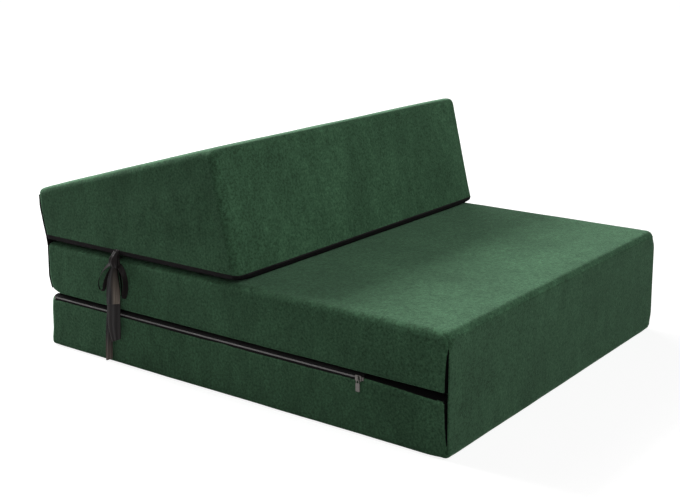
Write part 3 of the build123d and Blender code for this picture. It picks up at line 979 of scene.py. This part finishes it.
def tube_faces(rings, sides):
    """The faces of a closed tube of rings of points: its wall and both its ends."""
    faces = []
    for row in range(rings - 1):
        for k in range(sides):
            n = (k + 1) % sides
            faces.append([row * sides + k, row * sides + n, (row + 1) * sides + n, (row + 1) * sides + k])
    faces.append(list(range(sides))[::-1])
    faces.append([(rings - 1) * sides + k for k in range(sides)])
    return faces


def teeth(name, reach, shift, node):
    """One row of zip teeth: small rounded links, each fuller at its free end, that reach up or down."""
    tooth = np.array([(-out * tooth_thickness, along * tooth_length, share * reach)
                      for share, scale in tooth_scale_shares
                      for along, out in tooth_outline_shares * scale])
    tooth_faces = tube_faces(len(tooth_scale_shares), len(tooth_outline_shares))
    if reach < 0:
        tooth_faces = [face[::-1] for face in tooth_faces]
    points, faces = [], []
    places = np.arange(zip_start + first_tooth + shift, zip_end - last_tooth, tooth_pitch)
    for number, y in enumerate(places):
        points.append(tooth + (tape_face - tooth_stand, y, chain_middle - reach * meshed_share))
        faces += [[k + number * len(tooth) for k in face] for face in tooth_faces]
    finished(mesh_object(name, np.vstack(points), faces), "base", coil_nylon, [node])


tape("zip_tape_lower", [
    (tape_face, tape_low), (tape_face - 0.1, zip_ledge), (tape_face - 0.3, chain_middle - chain_gap),
], "zip_lower_tape")
tape("zip_tape_upper", [
    (tape_face - 0.3, chain_middle + chain_gap), (tape_face, chain_middle + 2.6),
    (tape_face + 2, chain_middle + 4.1), (tape_face + 8, chain_middle + 5),
], "zip_upper_tape")
teeth("zip_teeth_lower", tooth_reach, 0, "zip_lower_teeth")
teeth("zip_teeth_upper", -tooth_reach, tooth_pitch / 2, "zip_upper_teeth")

# The zip's stops, slider and pull keep their shape from the frame
for node in ("zip_front_stop", "zip_back_stop", "zip_slider", "zip_pull"):
    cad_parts[node].data.materials.clear()
    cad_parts[node].data.materials.append(zip_metal)


# The ties: satin ribbons knotted in a bow on each side

# The rows' heights count from the seam that the lower lead leaves, their places from the knot's middle
ribbon_thickness = 0.5
knot_offset = 1.6
# The ribbons' creases: their number across, how they drift and grow along it, and how they differ
creases_across = 2.5
crease_drift = 0.6
crease_start = 0.4
crease_turn = 0.37
# From top to foot: height, half length along the slab, half thickness, place of the middle
knot_stations = [(12.5, 5.5, 2.6, -1.2), (9, 6.2, 4.0, -1), (3, 8.2, 6.2, -0.8), (-4, 10.2, 6.8, -0.6),
                 (-10, 9.6, 6.0, -0.8), (-15, 8.0, 4.6, -0.4), (-20, 7.0, 3.2, 0)]
# Depth as a share, number around the knot, and how fast they turn with the height
knot_pleats = [(0.1, 7, 0.12), (0.05, 11, -0.2)]


def gathered_knot():
    """The knot: ribbon drawn together into pleats, narrow at its top and fuller below."""
    path = smooth_path(np.array(knot_stations) + (seam_z, 0, 0, knot_y), 30)
    around = np.linspace(0, 2 * np.pi, 41)[:-1]
    points = []
    for z, half_y, half_out, y in path:
        pleat = 1 + sum(depth * np.cos(count * around + turn * z) for depth, count, turn in knot_pleats)
        points.append(np.stack([
            -half_width - knot_offset - half_out - half_out * pleat * np.sin(around),
            y - half_y * pleat * np.cos(around),
            np.full_like(around, z)], axis=-1))
    return mesh_object("knot", np.vstack(points), tube_faces(len(path), len(around)))


def ribbon(name, rows, columns=9, count=40, creases=0.0, turned=0):
    """A ribbon from rows of its two edges.

    Each row gives the place along the slab, the height and the distance from the slab's side, first
    of the left edge and then of the right one, and how far the ribbon's middle bellies out more.
    """
    path = smooth_path(np.array(rows) + (knot_y, seam_z, 0, knot_y, seam_z, 0, 0), count)
    left_y, left_z, left_out, right_y, right_z, right_out, belly = path.T[..., None]
    share = np.linspace(0, 1, columns)[None, :]
    run = np.linspace(0, 1, count)[:, None]
    y = left_y * (1 - share) + right_y * share
    z = left_z * (1 - share) + right_z * share
    out = left_out * (1 - share) + right_out * share + belly * np.sin(np.pi * share)
    wave = np.sin(2 * np.pi * (share * creases_across + crease_drift * run + crease_turn * turned))
    out = out + creases * wave * (crease_start + (1 - crease_start) * run)
    return cloth(name, np.stack([-half_width - out, y, z], axis=-1)[:, ::-1], ribbon_thickness)


def mirrored(piece, name):
    """The same piece on the other side of the mattress."""
    other = duplicate(piece, name)
    other.data.transform(Matrix.Scale(-1, 4, (1, 0, 0)))
    other.data.flip_normals()
    return other


def tied(piece, body, material, flat=None, squashed=True):
    """Smooths a piece of the near tie, mirrors it to the far side and hands both over.
    """
    name = piece.name
    subdivided(piece)
    far_piece = mirrored(piece, name + "_right")
    piece.name = piece.data.name = name + "_left"
    for side_piece, side in ((piece, "left"), (far_piece, "right")):
        finished(side_piece, body, material, ["tie_" + name + "_" + side])
        if squashed:
            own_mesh(side_piece)


tie_pieces = [
    dict(piece=gathered_knot(), body="seat", material=ribbon_satin),
    dict(piece=ribbon("short_tail", [
        (5, -9, 8, -6, -10, 9, 2), (10.5, -23, 10, -9.5, -23, 11, 2), (15, -39, 11, -13, -38, 12, 2.5),
        (17.5, -56, 11, -15.5, -54, 12.5, 2), (19.5, -78.7, 10.5, -15.5, -71, 13, 1.5),
    ], creases=0.7), body="seat", material=short_tail_satin, flat=(0.036, 0.068)),
    dict(piece=ribbon("middle_tail", [
        (4, -13, 5, -5, -13, 6, 1.5), (14, -41, 7, -11, -41, 8, 1.5), (21, -77, 7.5, -12, -75, 8.5, 1.5),
        (22, -101, 7, -10.5, -97, 8, 1.2), (21, -119, 6.8, -9.8, -115, 7.6, 1),
        (13.5, -143, 6.5, -8.6, -133, 7.2, 0.6),
    ], creases=0.6, turned=1), body="seat", material=ribbon_satin, flat=(0.036, 0.124)),
    dict(piece=ribbon("long_tail", [
        (6, -15, 3, -4, -15, 3.6, 0.6), (17, -51, 4.2, -2, -50, 4.6, 0.8), (24, -85, 4.6, 2, -83, 5, 0.8),
        (28, -115, 4.6, 6, -113, 5, 0.8), (29.8, -137, 4.6, 12.5, -135, 5, 0.8),
        (30.8, -161, 4.5, 14.5, -157, 4.8, 0.8), (31.4, -179.6, 4.4, 15.6, -172.5, 4.6, 0.6),
    ], creases=0.35, turned=2), body="seat", material=long_tail_satin, flat=(0.022, 0.165)),
    dict(piece=ribbon("back_loop", [
        (4, -5, 5, 3, -11, 9, 0), (12.5, -7.5, 6, 11, -15, 12, 0), (23.5, -17.5, 7, 20, -23, 14, 0),
        (33, -31.5, 8, 28.5, -35, 15, 0), (37.5, -47, 8, 32.5, -48, 14.5, 0),
        (33, -58.5, 8, 29.5, -55.5, 14, 0), (24.5, -57, 7.5, 25, -53, 13, 0),
        (20, -45, 7, 22.5, -43.5, 13, 0), (14, -30, 6, 16, -28, 12, 0), (6, -14, 6, 5, -12, 10, 0),
    ], columns=6, count=60), body="seat", material=ribbon_satin, flat=(0.01, 0.105)),
    dict(piece=ribbon("front_loop", [
        (-5, -7, 3, -6.5, -11, 9, 0), (-13.5, -8, 4, -14, -16, 12, 0), (-21.5, -17.5, 4.5, -21, -23, 13.5, 0),
        (-26.5, -33, 4.5, -24.5, -34.5, 14.5, 0), (-26.5, -49.5, 5, -23.5, -49.5, 14.5, 0),
        (-21, -63.5, 5.5, -20, -60, 13, 0), (-14.5, -60, 5, -18, -58, 11, 0),
        (-12.5, -45, 4.5, -16, -45, 10.5, 0), (-11, -29, 4, -14, -29, 10, 0), (-7, -13, 4, -9, -14, 9, 0),
    ], columns=6, count=60), body="seat", material=ribbon_satin, flat=(0.01, 0.105)),
    dict(piece=ribbon("seat_lead", [
        (5, 0.2, -7, -5, 0.2, -7, 0), (5, 0.2, -2, -5.5, 0.2, -2, 0), (4, -0.2, 1.2, -5, -0.2, 1.2, 0.2),
        (3.5, -3, 3, -4.5, -3, 3, 0.4),
    ], columns=7, count=14), body="seat", material=ribbon_satin, flat=(0.0105, 0.0125), squashed=False),
    dict(piece=ribbon("wedge_lead", [
        (5.5, 14.2, 0.1, -6.5, 14.2, 0.1, 0.2), (5, 12.6, 1, -6, 12.6, 1, 0.6),
        (4.4, 9.5, 1.9, -5.4, 9.5, 1.9, 1), (4, 5.5, 2.2, -5, 5.5, 2.2, 1.2),
        (3.8, 3.2, 2, -4.8, 3.2, 2, 0.8),
    ], columns=13, count=16, creases=0.5), body="wedge", material=ribbon_satin, flat=(0.012, 0.012),
        squashed=False),
]
for tie_piece in tie_pieces:
    tied(**tie_piece)
